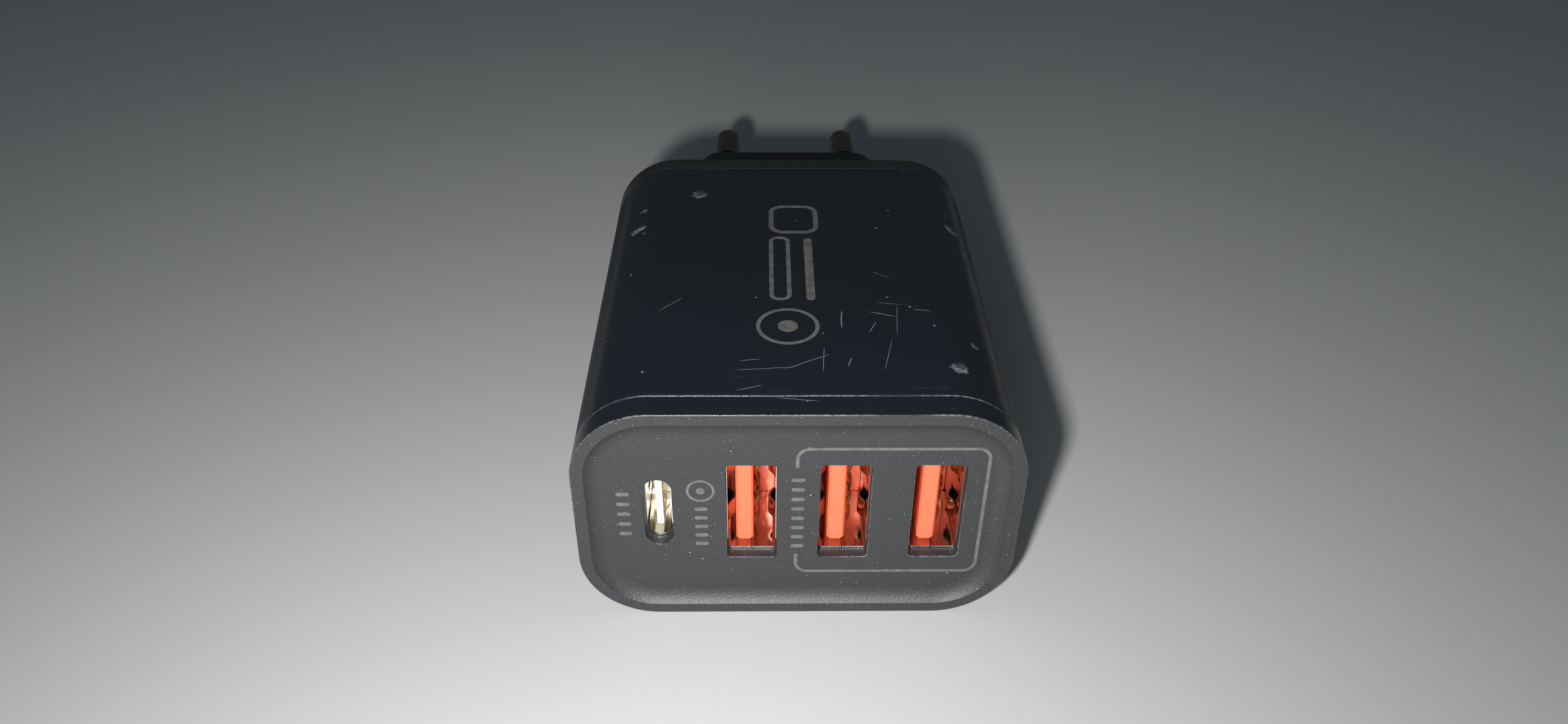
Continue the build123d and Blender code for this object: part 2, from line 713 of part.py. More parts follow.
with BuildPart() as choke_turn:
    with BuildLine(Plane.XY) as turn_path:
        turn_half_width = choke_section / 2 + wire_radius + 0.08
        turn_half_depth = choke_section + wire_radius + 0.08
        FilletPolyline(
            (choke_mid_radius - turn_half_width, -turn_half_depth),
            (choke_mid_radius + turn_half_width, -turn_half_depth),
            (choke_mid_radius + turn_half_width, turn_half_depth),
            (choke_mid_radius - turn_half_width, turn_half_depth),
            radius=wire_radius * 1.2,
            close=True,
        )
    turn_start = turn_path.wires()[0].location_at(0)
    with BuildSketch(Plane(turn_start.position, z_dir=turn_start.z_axis.direction)):
        Circle(wire_radius)
    sweep(path=turn_path.wires()[0])

with BuildPart() as choke_winding:
    for side_angle in (0, 180):
        for i in range(turns_per_winding):
            angle = side_angle + (i - (turns_per_winding - 1) / 2) * 18
            turn_place = Pos(choke_x, at(choke_depth), choke_z) * Rot(0, -angle, 0)
            add(turn_place * choke_turn.part)
save(choke_winding, "choke_winding")

# ---- Heat sink and insulating sheet ---------------------------------------------------------------

heat_sink_x, heat_sink_depth = 0.7, 32.0
heat_sink_thickness, heat_sink_length, heat_sink_height = 1.0, 13.0, 15.5
insulator_depth, insulator_thickness, insulator_half_width = 23.2, 0.25, 18.5

with BuildPart() as heat_sink:
    with BuildSketch(Plane.XY.offset(board_top + 0.1)):
        with Locations((heat_sink_x, at(heat_sink_depth))):
            Rectangle(heat_sink_thickness, heat_sink_length)
    extrude(amount=heat_sink_height)
    with BuildSketch(Plane.YZ.offset(heat_sink_x - heat_sink_thickness / 2)):
        with Locations((at(heat_sink_depth), board_top + heat_sink_height - 4.0)):
            with GridLocations(4.0, 1, 3, 1):
                SlotOverall(6.0, 1.6, rotation=90)
    extrude(amount=heat_sink_thickness, mode=Mode.SUBTRACT)
save(heat_sink, "heat_sink")

with BuildPart() as insulating_sheet:
    with BuildSketch(across(insulator_depth)):
        with Locations((0, (board_top + 0.1 + riser_top) / 2)):
            Rectangle(2 * insulator_half_width, riser_top - board_top - 0.1)
        for side in (-1, 1):
            with Locations((side * insulator_half_width, riser_top)):
                Rectangle(riser_notch, riser_notch, rotation=45, mode=Mode.SUBTRACT)
    extrude(amount=-insulator_thickness)
save(insulating_sheet, "insulating_sheet")

# ---- Power inductors and chips --------------------------------------------------------------------

inductor_size = (7.0, 7.0, 3.6)
inductor_z = board_top + 9.5
inductor_front = riser_back + 0.05
for number, x in enumerate((-8.5, 8.5), start=1):
    with BuildPart() as buck_inductor:
        with BuildSketch(across(inductor_front)):
            with Locations((x, inductor_z)):
                Rectangle(inductor_size[0], inductor_size[1])
        extrude(amount=-inductor_size[2])
        chamfer(buck_inductor.edges().filter_by(Axis.Y), 1.0)
        with BuildSketch(across(inductor_front + inductor_size[2])):
            with Locations((x, inductor_z)):
                Circle(2.6)
                Circle(2.3, mode=Mode.SUBTRACT)
        extrude(amount=0.15, mode=Mode.SUBTRACT)
    save(buck_inductor, f"buck_inductor_{number}")


lead_pitch = 1.27


def make_chip(node, plane, size, leads):
    """Chip on a board: plane lies on the board at the chip's middle, its normal pointing off the board."""
    with BuildPart() as chip:
        with BuildSketch(plane.offset(0.12)):
            Rectangle(size[0], size[1])
        extrude(amount=size[2], taper=5)
        with BuildSketch(plane):
            for side in (-1, 1):
                for i in range(leads):
                    with Locations(((i - (leads - 1) / 2) * lead_pitch, side * (size[1] / 2 + 0.35))):
                        Rectangle(0.42, 0.9)
        extrude(amount=0.3)
    save(chip, node)


def under_board(x, depth):
    return Plane((x, at(depth), board_bottom), x_dir=(0, 1, 0), z_dir=(0, 0, -1))


def on_riser(x, z):
    return Plane((x, at(riser_back), z), x_dir=(0, 0, 1), z_dir=(0, 1, 0))


make_chip("primary_controller", under_board(-6.0, 41.0), (4.9, 3.9, 1.45), 4)
make_chip("sync_rectifier", under_board(-9.0, 27.0), (4.9, 3.9, 1.45), 4)
make_chip("pd_controller", on_riser(-0.2, 15.5), (4.9, 3.9, 1.3), 4)
make_chip("quick_charge_controller", on_riser(14.6, 17.5), (4.9, 2.6, 1.2), 4)

# Small resistors and capacitors: x and depth under the main board, x and z on the riser board.
underside_parts = [(x, 20) for x in (-12, -8, -4, 0)]
underside_parts += [(12, 21), (15, 24), (-2, 34), (-9, 34), (2, 44), (-12, 46)]
riser_parts = [(-15, z) for z in (12, 15, 18, 21)] + [(x, 22) for x in (-3.4, 0, 3.4)]
riser_parts += [(0, 9.5), (15, 9.5), (15, 12)]

with BuildPart() as chip_parts:
    with BuildSketch(Plane.XY.offset(board_bottom)):
        for x, depth in underside_parts:
            with Locations((x, at(depth))):
                Rectangle(2.0, 1.25)
    extrude(amount=-0.6)
    with BuildSketch(across(riser_back)):
        for x, z in riser_parts:
            with Locations((x, z)):
                Rectangle(1.25, 2.0)
    extrude(amount=-0.6)
save(chip_parts, "chip_parts")

# ---- Solder joints under the board ----------------------------------------------------------------

with BuildPart() as solder_joints:
    for x, depth in joint_places:
        with Locations((x, at(depth), board_bottom - 0.45)):
            Cone(0.35, 0.95, 0.88)
save(solder_joints, "solder_joints")
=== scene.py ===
import math
import random

import bmesh
import bpy
import numpy as np
from mathutils import Matrix, Vector


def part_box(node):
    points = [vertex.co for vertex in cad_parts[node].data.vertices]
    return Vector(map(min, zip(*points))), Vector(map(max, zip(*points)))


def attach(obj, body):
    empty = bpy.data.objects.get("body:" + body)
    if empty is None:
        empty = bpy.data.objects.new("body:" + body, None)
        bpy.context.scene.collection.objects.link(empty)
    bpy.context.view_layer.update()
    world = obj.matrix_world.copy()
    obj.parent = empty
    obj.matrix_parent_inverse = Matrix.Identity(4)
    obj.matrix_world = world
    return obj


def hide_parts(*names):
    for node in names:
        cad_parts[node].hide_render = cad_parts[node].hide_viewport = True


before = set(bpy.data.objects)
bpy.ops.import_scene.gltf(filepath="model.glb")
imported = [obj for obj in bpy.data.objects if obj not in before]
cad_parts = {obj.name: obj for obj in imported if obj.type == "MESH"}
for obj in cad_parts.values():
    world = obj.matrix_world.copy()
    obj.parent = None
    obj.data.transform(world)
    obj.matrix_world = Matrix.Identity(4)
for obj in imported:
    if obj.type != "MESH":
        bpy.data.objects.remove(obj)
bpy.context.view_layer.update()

# Everything below is in metres, in the row's frame. MM turns the housing's millimetres into metres.
MM = 0.001

# ---- Places, from the frame -----------------------------------------------------------------------

housing_low, housing_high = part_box("main_housing")
cover_low, cover_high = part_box("front_cover")
board_low, board_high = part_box("main_board")

front_y = cover_low.y
half_width = housing_high.x
height = housing_high.z
sleeve_start = housing_low.y
sleeve_end = housing_high.y
lip_end = cover_high.y

CORNER = 8.4 * MM           # corner radius of the body's cross-section
SEAM_CHAMFER = 0.12 * MM
WALL = 1.8 * MM
LIP_OUTSET = 1.9 * MM
LIP_WALL = 1.2 * MM
RIM = 1.35 * MM             # flat rim of the front face
COVE = 1.9 * MM             # concave run from the rim to the field
FIELD_DEPTH = 0.85 * MM
PLATE = 1.3 * MM
RIB_PITCH = 0.5 * MM
GROOVE_DEPTH = 0.2 * MM
RIB_FULLNESS = 0.8          # below 1 the grooves are wider than the ribs
HOLE_EASE = 0.1 * MM        # rounding of the socket holes' edges
USB_A_HOLE_CORNER = 0.45 * MM
RIM_EASE = 0.13 * MM        # rounding of the front rim's outer edge
HOLD = 0.06 * MM            # narrow flat strip beside an eased edge, which keeps its shading crisp
HOLE_HOLD = 0.05 * MM       # the same beside the socket holes
COVE_BEVEL = 0.05 * MM      # softens the edge where the cove meets the rim
RIM_HOLD = 0.08 * MM
HAIR = 0.01 * MM            # least distance that keeps two neighbouring points apart
RAIL_TIP = 19.8 * MM        # distance of the board rails' inner faces from the middle
RAIL_HEIGHT = 1.2 * MM
RAIL_GAP = 0.1 * MM
RAIL_RELIEF = 2.8 * MM      # the rails stop short of the covers' lips
RAIL_EASE = 0.2 * MM

USB_A_XS = [(lo.x + hi.x) / 2 for lo, hi in (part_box(f"usb_a_shell_{n}") for n in (1, 2, 3))]
usb_c_low, usb_c_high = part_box("usb_c_shell")
USB_C_X = (usb_c_low.x + usb_c_high.x) / 2
PORT_Z = 14.35 * MM
USB_A_HOLE = (5.3 * MM, 13.06 * MM)
USB_C_HOLE = (2.99 * MM, 9.07 * MM)
field_y = front_y + FIELD_DEPTH


# ---- Mesh helpers ---------------------------------------------------------------------------------

def rounded_rectangle(centre_x, centre_z, width, tall, radius, steps):
    """Points (x, z) round a rounded rectangle, anticlockwise seen from the front, steps per corner."""
    points = []
    for corner_x, corner_z, start in ((1, 1, 0), (-1, 1, 90), (-1, -1, 180), (1, -1, 270)):
        hub_x = centre_x + corner_x * (width / 2 - radius)
        hub_z = centre_z + corner_z * (tall / 2 - radius)
        for i in range(steps + 1):
            angle = math.radians(start + 90 * i / steps)
            points.append((hub_x + radius * math.cos(angle), hub_z + radius * math.sin(angle)))
    return points


def body_outline(inset, steps=20):
    return rounded_rectangle(
        0, height / 2, 2 * (half_width - inset), height - 2 * inset, max(CORNER - inset, 0.2 * MM), steps
    )


def add_ring(bm, outline, y):
    return [bm.verts.new((x, y, z)) for x, z in outline]


def bridge(bm, ring_a, ring_b):
    count = len(ring_a)
    for i in range(count):
        j = (i + 1) % count
        bm.faces.new((ring_a[i], ring_a[j], ring_b[j], ring_b[i]))


def ring_edges(bm, ring):
    count = len(ring)
    return [bm.edges.get((ring[i], ring[(i + 1) % count])) for i in range(count)]


def fill_between(bm, *rings):
    """Flat face between an outer ring and the rings inside it."""
    edges = [edge for ring in rings for edge in ring_edges(bm, ring)]
    bmesh.ops.triangle_fill(bm, edges=edges, use_beauty=True, use_dissolve=False)


def finish_mesh(bm, name, sharp_angle):
    bmesh.ops.recalc_face_normals(bm, faces=bm.faces)
    mesh = bpy.data.meshes.new(name)
    bm.to_mesh(mesh)
    bm.free()
    mesh.shade_smooth()
    mesh.set_sharp_from_angle(angle=math.radians(sharp_angle))
    piece = bpy.data.objects.new(name, mesh)
    bpy.context.scene.collection.objects.link(piece)
    return piece


# ---- Main housing: a sleeve with fine rounded ribs on its narrow sides -----------------------------

def rib_fade(angle):
    """1 on the flat side, falling to 0 halfway round each corner."""
    return max(0.0, abs(math.cos(angle)) - abs(math.sin(angle)))


def add_rail(bm, side, low_z, high_z):
    """One rail for the board, rooted in the housing's wall; its inner edges are rounded."""
    tip = side * RAIL_TIP
    root = side * (half_width - WALL / 2)
    section = [
        (root, low_z), (tip + side * RAIL_EASE, low_z), (tip, low_z + RAIL_EASE),
        (tip, high_z - RAIL_EASE), (tip + side * RAIL_EASE, high_z), (root, high_z),
    ]
    front_ring = add_ring(bm, section, sleeve_start + RAIL_RELIEF)
    rear_ring = add_ring(bm, section, sleeve_end - RAIL_RELIEF)
    bridge(bm, front_ring, rear_ring)
    bm.faces.new(front_ring)
    bm.faces.new(rear_ring)


def make_housing():
    steps = 20
    stations_per_rib = 8
    rib_count = int((sleeve_end - sleeve_start - 2 * RIB_PITCH) / RIB_PITCH)
    angles = [math.radians(start + 90 * i / steps) for start in (0, 90, 180, 270) for i in range(steps + 1)]
    outline = body_outline(0, steps)
    chamfered = body_outline(SEAM_CHAMFER, steps)
    bm = bmesh.new()
    rings = [add_ring(bm, chamfered, sleeve_start), add_ring(bm, outline, sleeve_start + SEAM_CHAMFER)]
    first = sleeve_start + RIB_PITCH
    for i in range(rib_count * stations_per_rib + 1):
        phase = i / stations_per_rib
        sink = GROOVE_DEPTH * (0.5 - 0.5 * math.cos(2 * math.pi * phase)) ** RIB_FULLNESS
        points = []
        for (x, z), angle in zip(outline, angles):
            depth = sink * rib_fade(angle)
            points.append((x - depth * math.cos(angle), z - depth * math.sin(angle)))
        rings.append(add_ring(bm, points, first + phase * RIB_PITCH))
    rings.append(add_ring(bm, outline, sleeve_end - SEAM_CHAMFER))
    rings.append(add_ring(bm, chamfered, sleeve_end))
    inner = body_outline(WALL, steps)
    rings.append(add_ring(bm, inner, sleeve_end))
    rings.append(add_ring(bm, inner, sleeve_start))
    for ring_a, ring_b in zip(rings, rings[1:] + rings[:1]):
        bridge(bm, ring_a, ring_b)
    for side in (-1, 1):
        add_rail(bm, side, board_low.z - RAIL_GAP - RAIL_HEIGHT, board_low.z - RAIL_GAP)
        add_rail(bm, side, board_high.z + RAIL_GAP, board_high.z + RAIL_GAP + RAIL_HEIGHT)
    return finish_mesh(bm, "housing_sleeve", 50)


# ---- Front cover: rim, cove, field with the socket holes, skirt and lip -----------------------------

def hole_outlines(grow):
    """The four socket holes, grown by a distance; the same point count for every grow."""
    outlines = []
    for x in USB_A_XS:
        width, tall = USB_A_HOLE
        corner = USB_A_HOLE_CORNER + grow
        outlines.append(rounded_rectangle(x, PORT_Z, width + 2 * grow, tall + 2 * grow, corner, 6))
    width, tall = USB_C_HOLE
    corner = width / 2 + grow - HAIR
    outlines.append(rounded_rectangle(USB_C_X, PORT_Z, width + 2 * grow, tall + 2 * grow, corner, 14))
    return outlines


def quarter_round(radius, steps):
    """Insets and depths round a convex edge of that radius, from the flat to the wall."""
    angles = np.linspace(0, math.pi / 2, steps)
    return [(radius * (1 - math.sin(a)), radius * (1 - math.cos(a))) for a in angles]


def make_front_cover():
    bm = bmesh.new()
    cove_radius = (COVE**2 + FIELD_DEPTH**2) / (2 * FIELD_DEPTH)
    sweep = math.asin(COVE / cove_radius)
    profile = [(RIM + COVE + HOLD, FIELD_DEPTH)]
    cove_steps = 16
    for i in range(cove_steps + 1):
        angle = sweep * i / cove_steps
        inset = RIM + COVE - cove_radius * math.sin(angle)
        profile.append((inset, FIELD_DEPTH - cove_radius * (1 - math.cos(angle))))
    profile[-1] = (RIM + COVE_BEVEL, COVE_BEVEL)
    profile += [(RIM - HAIR, 0), (RIM - RIM_HOLD, 0), (RIM_EASE + HOLD, 0)]
    profile += quarter_round(RIM_EASE, 5)
    skirt = sleeve_start - front_y
    profile += [
        (0, RIM_EASE + HOLD), (0, skirt - SEAM_CHAMFER), (SEAM_CHAMFER, skirt), (LIP_OUTSET, skirt),
        (LIP_OUTSET, lip_end - front_y), (LIP_OUTSET + LIP_WALL, lip_end - front_y),
        (LIP_OUTSET + LIP_WALL, FIELD_DEPTH + PLATE),
    ]
    rings = [add_ring(bm, body_outline(inset, 24), front_y + depth) for inset, depth in profile]
    for ring_a, ring_b in zip(rings, rings[1:]):
        bridge(bm, ring_a, ring_b)
    hole_profile = [(HOLE_EASE + HOLE_HOLD, 0)]
    hole_profile += quarter_round(HOLE_EASE, 4)
    hole_profile += [(0, HOLE_EASE + HOLE_HOLD), (0, PLATE)]
    hole_rings = []
    for grow, depth in hole_profile:
        y = field_y + depth
        hole_rings.append([add_ring(bm, outline, y) for outline in hole_outlines(grow)])
    for level_a, level_b in zip(hole_rings, hole_rings[1:]):
        for ring_a, ring_b in zip(level_a, level_b):
            bridge(bm, ring_a, ring_b)
    fill_between(bm, rings[0], *hole_rings[0])
    fill_between(bm, rings[-1], *hole_rings[-1])
    return finish_mesh(bm, "front_shell", 30)


# ---- Materials --------------------------------------------------------------------------------------

class Nodes:
    """Short-hand for building one material's node tree."""

    def __init__(self, name):
        self.material = bpy.data.materials.new(name)
        self.material.use_nodes = True
        self.tree = self.material.node_tree
        self.tree.nodes.clear()
        self.shader = self.tree.nodes.new("ShaderNodeBsdfPrincipled")
        output = self.tree.nodes.new("ShaderNodeOutputMaterial")
        self.link(self.shader.outputs[0], output.inputs["Surface"])
        self.coords = self.tree.nodes.new("ShaderNodeTexCoord").outputs["Object"]

    def link(self, source, target):
        self.tree.links.new(source, target)

    def set(self, **values):
        for key, value in values.items():
            self.shader.inputs[key.replace("_", " ")].default_value = value

    def mapped(self, scale=(1, 1, 1), rotation=(0, 0, 0), location=(0, 0, 0)):
        node = self.tree.nodes.new("ShaderNodeMapping")
        node.inputs["Scale"].default_value = scale
        node.inputs["Rotation"].default_value = rotation
        node.inputs["Location"].default_value = location
        self.link(self.coords, node.inputs["Vector"])
        return node.outputs["Vector"]

    def noise(self, scale, detail=2.0, roughness=0.5, vector=None):
        node = self.tree.nodes.new("ShaderNodeTexNoise")
        node.inputs["Scale"].default_value = scale
        node.inputs["Detail"].default_value = detail
        node.inputs["Roughness"].default_value = roughness
        self.link(vector or self.coords, node.inputs["Vector"])
        return node.outputs["Fac"]

    def voronoi(self, scale):
        """Distance to the nearest point, and a colour for its cell."""
        node = self.tree.nodes.new("ShaderNodeTexVoronoi")
        node.inputs["Scale"].default_value = scale
        self.link(self.coords, node.inputs["Vector"])
        return node.outputs["Distance"], node.outputs["Color"]

    def ramp(self, value, low, high, out_low=0.0, out_high=1.0):
        node = self.tree.nodes.new("ShaderNodeMapRange")
        node.inputs["From Min"].default_value = low
        node.inputs["From Max"].default_value = high
        node.inputs["To Min"].default_value = out_low
        node.inputs["To Max"].default_value = out_high
        self.link(value, node.inputs["Value"])
        return node.outputs["Result"]

    def math(self, operation, a, b=None):
        node = self.tree.nodes.new("ShaderNodeMath")
        node.operation = operation
        for socket, value in zip(node.inputs, (a, b)):
            if value is None:
                continue
            if isinstance(value, (int, float)):
                socket.default_value = value
            else:
                self.link(value, socket)
        return node.outputs[0]

    def mix(self, factor, colour_a, colour_b):
        node = self.tree.nodes.new("ShaderNodeMix")
        node.data_type = "RGBA"
        for key, value in (("Factor", factor), ("A", colour_a), ("B", colour_b)):
            index = {"Factor": 0, "A": 6, "B": 7}[key]
            if isinstance(value, (tuple, float, int)):
                node.inputs[index].default_value = value
            else:
                self.link(value, node.inputs[index])
        return node.outputs[2]

    def highest(self, *values):
        result = values[0]
        for value in values[1:]:
            result = self.math("MAXIMUM", result, value)
        return result

    def split(self, vector):
        node = self.tree.nodes.new("ShaderNodeSeparateXYZ")
        self.link(vector, node.inputs[0])
        return node.outputs

    def spot(self, x, y, radius, wobble):
        """1 inside a ragged blob seen from above, 0 outside."""
        node = self.tree.nodes.new("ShaderNodeVectorMath")
        node.operation = "DISTANCE"
        self.link(self.mapped(scale=(1, 1, 0)), node.inputs[0])
        node.inputs[1].default_value = (x, y, 0)
        ragged = self.math("ADD", node.outputs["Value"], self.math("MULTIPLY", wobble, 1.6 * radius))
        return self.ramp(ragged, 1.3 * radius, 0.8 * radius)

    def dent_with_painted_highlight(self, x, y, radius, wobble):
        """A faint ragged blob with a painted highlight: a bright arc along its front edge, where the
        hollow's slope would catch the light.
        """
        blob = self.spot(x, y, radius, wobble)
        behind = self.spot(x + 0.3 * radius, y + 0.75 * radius, radius, wobble)
        painted_highlight_crescent = self.math("MULTIPLY", blob, self.math("SUBTRACT", 1.0, behind))
        return self.math("MAXIMUM", self.math("MULTIPLY", blob, 0.22), painted_highlight_crescent)

    def scratch(self, x, y, length, angle, width, wobble):
        """1 on a thin, slightly wavy line on the top, 0 elsewhere; it fades out at both ends."""
        shift = Matrix.Rotation(-angle, 3, "Z") @ Vector((-x, -y, 0))
        along, off, _ = self.split(self.mapped(rotation=(0, 0, -angle), location=shift))
        off = self.math("ADD", off, self.math("MULTIPLY", wobble, 4 * width))
        line = self.ramp(self.math("ABSOLUTE", off), width, 0.4 * width)
        return self.math("MULTIPLY", line, self.ramp(self.math("ABSOLUTE", along), length / 2, 0.3 * length))

    def specks(self, scale, size, share):
        """Scattered dust or nicks: a small dot in some of the cells."""
        distance, cell_colour = self.voronoi(scale)
        dots = self.ramp(distance, size, 0.6 * size)
        chosen = self.math("LESS_THAN", self.split(cell_colour)[0], share)
        return self.math("MULTIPLY", dots, chosen)

    def bump(self, height_value, strength, distance, normal=None):
        node = self.tree.nodes.new("ShaderNodeBump")
        node.inputs["Strength"].default_value = strength
        node.inputs["Distance"].default_value = distance
        self.link(height_value, node.inputs["Height"])
        if normal is not None:
            self.link(normal, node.inputs["Normal"])
        return node.outputs["Normal"]


def grey(value, tint=0.0):
    return (value * (1 - tint / 2), value, value * (1 + tint), 1.0)


def moulded_plastic(name, colour, roughness=0.4, grain=0.12 * MM, grain_strength=0.15, variation=0.15):
    """Plain moulded plastic: fine grain, slight mottling, roughness that wanders a little."""
    n = Nodes(name)
    mottling = n.noise(1 / (9 * grain), 3)
    darker = tuple(c * (1 - variation) for c in colour[:3]) + (1.0,)
    lighter = tuple(min(1.0, c * (1 + variation)) for c in colour[:3]) + (1.0,)
    n.link(n.mix(n.ramp(mottling, 0.3, 0.7), darker, lighter), n.shader.inputs["Base Color"])
    duller = min(1.0, roughness * 1.15)
    n.link(n.ramp(mottling, 0.25, 0.75, roughness * 0.85, duller), n.shader.inputs["Roughness"])
    fine = n.noise(1 / grain, 2)
    n.link(n.bump(fine, grain_strength, 0.02 * MM), n.shader.inputs["Normal"])
    return n.material


def metal(name, colour, roughness=0.25, streak=(1, 1, 1), streak_scale=3000, strength=0.1):
    """Metal with fine directional streaks and a little tarnish."""
    n = Nodes(name)
    streaks = n.noise(streak_scale, 2, vector=n.mapped(scale=streak))
    tarnish = n.noise(700, 4, 0.6)
    dull = tuple(c * 0.82 for c in colour[:3]) + (1.0,)
    n.link(n.mix(n.ramp(tarnish, 0.35, 0.75), colour, dull), n.shader.inputs["Base Color"])
    n.link(n.ramp(streaks, 0.2, 0.8, roughness * 0.7, roughness * 1.4), n.shader.inputs["Roughness"])
    n.link(n.bump(streaks, strength, 0.01 * MM), n.shader.inputs["Normal"])
    n.set(Metallic=1.0)
    return n.material


GLOSS_BLACK = grey(0.011, 0.35)
# lighter grey of worn-through plastic, also the colour of the painted highlights on the scuffs' front edges
WORN_AND_HIGHLIGHT = grey(0.3, 0.08)
FACE_DUST = grey(0.42, 0.05)
INK = grey(0.105, -0.04)

# Worn patches of the top, in millimetres: the patch's centre x and its depth behind the rim, how far
# its marks spread, and how many there are. Scratches also have the angle that they lean to, in degrees.
SCUFF_PATCHES = [(-16, 42, 5, 6), (19, 37, 4, 3), (17, 13, 6, 3)]
SCRATCH_PATCHES = [(-4, 8, 6, 5, 12), (7, 12, 5, 6, 75), (14, 21, 5, 5, -30), (-15, 20, 2, 1, 25)]
WEAR_SEED = 4


def scatter(draw, patch):
    """One random place in a worn patch for each of its marks."""
    centre, depth, spread, count = patch[:4]
    for _ in range(count):
        x = centre + draw.uniform(-spread, spread)
        behind_rim = depth + draw.uniform(-spread, spread)
        yield x * MM, front_y + behind_rim * MM


def worn_marks():
    """Scuffs (x, y, radius) and scratches (x, y, length, angle, width), scattered over the worn patches."""
    draw = random.Random(WEAR_SEED)
    scuffs = []
    for patch in SCUFF_PATCHES:
        for x, y in scatter(draw, patch):
            scuffs.append((x, y, draw.uniform(0.3, 0.85) * MM))
    scratches = []
    for patch in SCRATCH_PATCHES:
        lean = patch[4]
        for x, y in scatter(draw, patch):
            angle = math.radians(lean + draw.uniform(-22, 22))
            length = draw.uniform(1.5, 6.5) * MM
            scratches.append((x, y, length, angle, draw.uniform(0.03, 0.08) * MM))
    return scuffs, scratches


def gloss_black(name):
    """Glossy black housing plastic: faint clouds in the polish, dust, nicks, and worn marks on the top; each
    scuff has a painted highlight along its front edge.
    """
    n = Nodes(name)
    clouds = n.noise(160, 4, 0.6)
    fine = n.noise(2600, 2)
    wear_and_painted_highlight = n.math("MULTIPLY", n.specks(420, 0.075, 0.35), 0.7)
    hairlines = n.noise(900, 3, 0.65, n.mapped(scale=(0.12, 1.6, 1), rotation=(0, 0, 0.5)))
    hairlines = n.math("MULTIPLY", n.ramp(hairlines, 0.68, 0.74), n.ramp(clouds, 0.5, 0.62))
    wear_and_painted_highlight = n.highest(wear_and_painted_highlight, n.math("MULTIPLY", hairlines, 0.12))
    ragged = n.math("SUBTRACT", n.noise(1500, 3, 0.6), 0.5)
    wavy = n.math("SUBTRACT", n.noise(350, 2), 0.5)
    scuffs, scratches = worn_marks()
    # each scuff: a faint worn blob plus a painted highlight along its front edge
    spots = [n.dent_with_painted_highlight(*scuff, ragged) for scuff in scuffs]
    lines = [n.scratch(*scratch, wavy) for scratch in scratches]
    broken = n.ramp(n.noise(1500, 4, 0.7, n.mapped(scale=(0.35, 1, 1), rotation=(0, 0, 0.4))), 0.32, 0.58)
    rubbed_and_highlit = n.math("MULTIPLY", n.highest(*spots), broken)
    upper = n.ramp(n.split(n.coords)[2], height - 4 * MM, height - 3 * MM)
    marks = n.math("MULTIPLY", n.highest(rubbed_and_highlit, n.math("MULTIPLY", n.highest(*lines), 0.75)), upper)
    wear_and_painted_highlight = n.highest(wear_and_painted_highlight, marks)
    n.link(n.mix(wear_and_painted_highlight, GLOSS_BLACK, WORN_AND_HIGHLIGHT), n.shader.inputs["Base Color"])
    polish = n.ramp(clouds, 0.3, 0.7, 0.2, 0.32)
    n.link(n.math("ADD", polish, n.math("MULTIPLY", wear_and_painted_highlight, 0.3)), n.shader.inputs["Roughness"])
    relief = n.bump(n.math("MULTIPLY", wear_and_painted_highlight, -1), 0.5, 0.05 * MM)
    n.link(n.bump(fine, 0.08, 0.02 * MM, relief), n.shader.inputs["Normal"])
    return n.material


def worn_edge_and_painted_highlight(name, worn_and_highlight_colour):
    """Edge worn through to a lighter, duller plastic, in broken stretches; the lighter colour is partly a
    painted highlight where the edge would catch the light.
    """
    n = Nodes(name)
    stretches = n.ramp(n.noise(120, 4, 0.65), 0.38, 0.6)
    broken = n.ramp(n.noise(2600, 3, 0.7), 0.38, 0.6)
    wear_and_painted_highlight = n.math("MULTIPLY", stretches, broken)
    n.link(n.mix(wear_and_painted_highlight, grey(0.02, 0.1), worn_and_highlight_colour), n.shader.inputs["Base Color"])
    n.link(n.ramp(wear_and_painted_highlight, 0, 1, 0.3, 0.55), n.shader.inputs["Roughness"])
    n.link(n.bump(broken, 0.3, 0.03 * MM), n.shader.inputs["Normal"])
    return n.material


def textured_face():
    """Spark-eroded matt finish of the front face: sparkling grain, fine dust and a few nicks."""
    n = Nodes("textured_front_plastic")
    pits, _ = n.voronoi(4200)
    grain = n.noise(6500, 3, 0.75)
    relief = n.math("ADD", n.math("MULTIPLY", pits, 0.8), grain)
    tone = n.mix(n.ramp(grain, 0.3, 0.7), grey(0.006, 0.2), grey(0.022, 0.15))
    dust = n.highest(
        n.math("MULTIPLY", n.specks(2800, 0.12, 0.45), 0.32),
        n.math("MULTIPLY", n.specks(1250, 0.08, 0.5), 0.55),
        n.math("MULTIPLY", n.specks(380, 0.035, 0.6), 0.95),
    )
    n.link(n.mix(dust, tone, FACE_DUST), n.shader.inputs["Base Color"])
    n.link(n.ramp(grain, 0.3, 0.7, 0.42, 0.6), n.shader.inputs["Roughness"])
    n.set(Specular_IOR_Level=0.85)
    n.link(n.bump(relief, 0.8, 0.04 * MM), n.shader.inputs["Normal"])
    return n.material


BLACK = gloss_black("gloss_black_plastic")
# seam and socket hole edges: worn plastic, with lighter stretches that are partly a painted highlight
WORN_EDGE_AND_HIGHLIGHT = worn_edge_and_painted_highlight("worn_black_edge_and_highlight", grey(0.13, 0.03))
